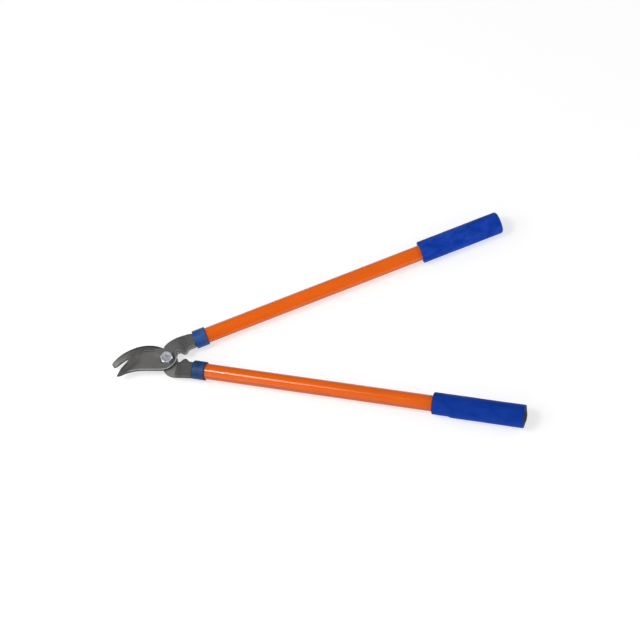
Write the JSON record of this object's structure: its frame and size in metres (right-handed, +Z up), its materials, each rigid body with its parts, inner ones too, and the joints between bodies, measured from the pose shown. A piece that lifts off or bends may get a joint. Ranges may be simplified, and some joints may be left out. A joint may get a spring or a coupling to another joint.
{
  "type": "bypass lopper",
  "caption": "Two-handed bypass lopper: a curved cutting blade passes a forged hook on a bolted pivot, with painted tube handles, collars and sleeve grips.",
  "frame": {"origin": "centre of the pivot bolt's end face, in the plane on which the lopper lies", "axes": "+Z up along the pivot axis, +X along the bisector of the two handles towards the grips, so the jaws point to -X and the cutting lever's handle runs to +Y"},
  "size_m": [0.6451, 0.3816, 0.036],
  "materials": {
    "forged_steel": "ground and oiled carbon steel, satin, with forging marks",
    "forged_steel_hook": "ground and oiled carbon steel, satin, with forging marks",
    "zinc_steel": "zinc plated, satin",
    "white_nylon": "moulded, satin",
    "orange_paint": "glossy sprayed paint on steel tube",
    "blue_vinyl": "soft dipped vinyl, satin, slightly mottled",
    "blue_ferrule": "moulded, satin",
    "grey_liner": "moulded, satin",
    "rivet_steel": "plain steel",
    "black_plug": "moulded, satin"
  },
  "bodies": {
    "hook_lever": {"hook_blade": "forged_steel_hook", "pivot_bolt": "zinc_steel", "nut_washer": "zinc_steel", "pivot_nut": "zinc_steel", "nut_nylon_insert": "white_nylon", "hook_handle_tube": "orange_paint", "hook_handle_ferrule": "blue_ferrule", "hook_tang_sleeve": "grey_liner", "hook_tang_pin": "rivet_steel", "hook_handle_grip": "blue_vinyl", "hook_handle_end_plug": "black_plug"},
    "cutting_lever": {"cutting_blade": "forged_steel", "cutting_handle_tube": "orange_paint", "cutting_handle_ferrule": "blue_ferrule", "cutting_tang_sleeve": "grey_liner", "cutting_tang_pin": "rivet_steel", "cutting_handle_grip": "blue_vinyl"}
  },
  "joints": [
    {"name": "pivot", "type": "hinge", "parent": "hook_lever", "child": "cutting_lever", "pos_m": [0, 0, 0.018], "axis": [0, 0, 1], "range_deg": [-20.8, 45]}
  ]
}
